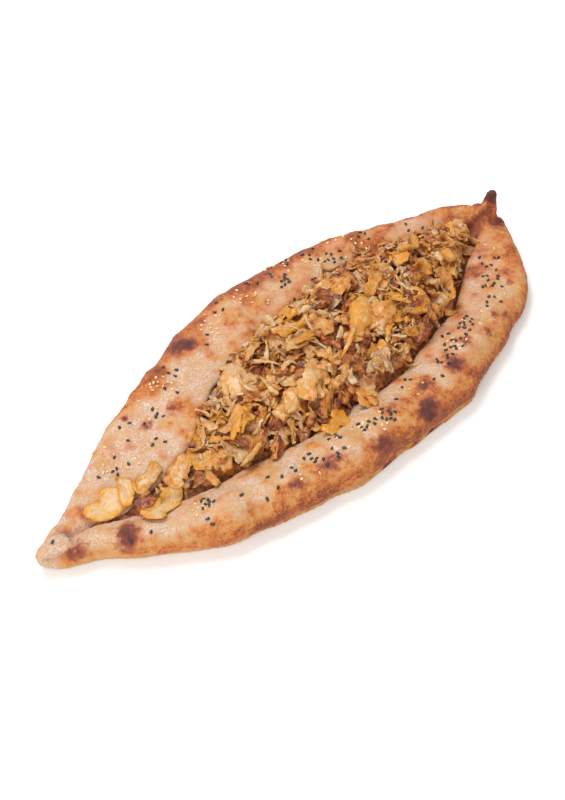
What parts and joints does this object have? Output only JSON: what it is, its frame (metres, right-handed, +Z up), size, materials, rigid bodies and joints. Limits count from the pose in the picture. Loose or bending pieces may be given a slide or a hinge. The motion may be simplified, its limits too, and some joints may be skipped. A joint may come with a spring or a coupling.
{
  "type": "turkish pide",
  "caption": "Boat-shaped baked flatbread with folded-in rims, one upturned pinched tip, a heaped filling of curled roasted shavings, and sesame seeds on the crust.",
  "frame": {"origin": "middle of the flat underside, at the centre of the bounding box seen from above", "axes": "+X along the boat towards its upturned tip, +Y towards the broad flap, +Z up"},
  "size_m": [0.4165, 0.1775, 0.0434],
  "materials": {
    "crust": "matte baked dough, floury in the folds and browned on the crests",
    "sauce": "moist and slightly glossy",
    "shavings": "oily, semi-gloss",
    "onion": "thin, glossy and slightly translucent",
    "meat": "roasted, slightly glossy"
  },
  "bodies": {
    "root": {"dough_crust": "crust", "sauce_layer": "sauce", "shavings_heap": "shavings", "meat_lump": "meat", "onion_flake_tip": "onion", "onion_flake_fold": "onion", "onion_flake_slit": "onion", "shaving_slit_low": "shavings", "shaving_slit_high": "shavings"}
  },
  "joints": []
}
